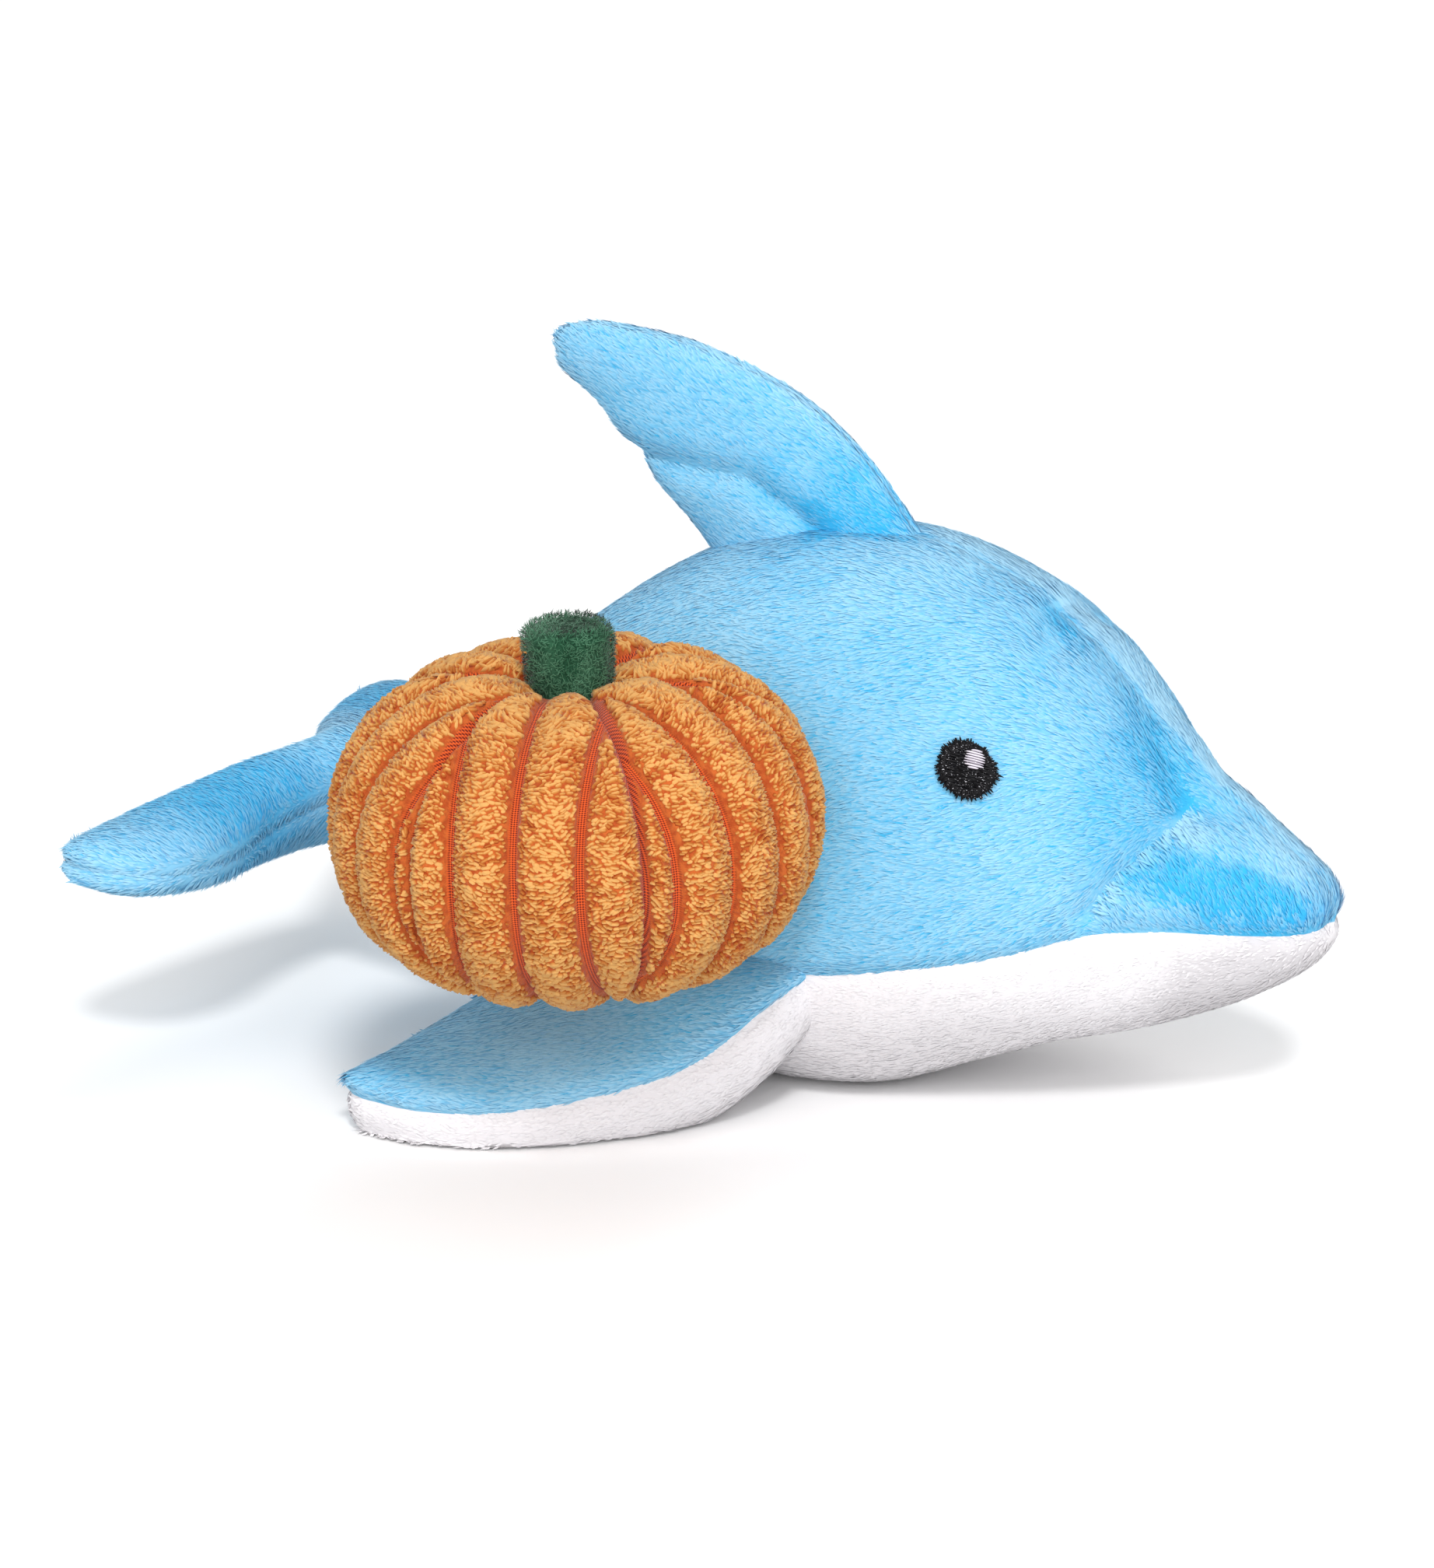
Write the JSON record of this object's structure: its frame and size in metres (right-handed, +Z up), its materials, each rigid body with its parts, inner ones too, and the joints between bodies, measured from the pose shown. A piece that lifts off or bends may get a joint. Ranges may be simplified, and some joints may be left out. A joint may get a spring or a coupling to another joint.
{
  "type": "plush dolphin",
  "caption": "Small plush dolphin that rests on its belly and flippers, with swept flukes, a curved back fin and a ribbed plush pumpkin sewn to its right side.",
  "frame": {"origin": "middle of the flat spot under the belly that the toy rests on", "axes": "+X towards the snout, +Y to the dolphin's left, +Z up"},
  "size_m": [0.2333, 0.21, 0.1399],
  "materials": {
    "blue_plush": "short pile, matt",
    "white_plush": "short pile, matt",
    "polyester_filling": "loose fibre, matt",
    "black_thread": "satin stitch",
    "lilac_thread": "satin stitch",
    "orange_rib_plush": "ribbed looped pile, matt",
    "green_fleece": "brushed fleece, matt"
  },
  "bodies": {
    "root": {"belly_panel": "white_plush", "body_side_left": "blue_plush", "body_side_right": "blue_plush", "body_stuffing": "polyester_filling", "dorsal_fin_left": "blue_plush", "dorsal_fin_right": "blue_plush", "dorsal_fin_stuffing": "polyester_filling", "eye_left": "black_thread", "eye_left_glint": "lilac_thread", "eye_right": "black_thread", "eye_right_glint": "lilac_thread", "flipper_left_stuffing": "polyester_filling", "flipper_left_top": "blue_plush", "flipper_left_underside": "white_plush", "flipper_right_stuffing": "polyester_filling", "flipper_right_top": "blue_plush", "flipper_right_underside": "white_plush", "fluke_stuffing": "polyester_filling", "fluke_top": "blue_plush", "fluke_underside": "blue_plush", "pumpkin_gore_1": "orange_rib_plush", "pumpkin_gore_2": "orange_rib_plush", "pumpkin_gore_3": "orange_rib_plush", "pumpkin_gore_4": "orange_rib_plush", "pumpkin_gore_5": "orange_rib_plush", "pumpkin_gore_6": "orange_rib_plush", "pumpkin_stem": "green_fleece", "pumpkin_stuffing": "polyester_filling"}
  },
  "joints": []
}
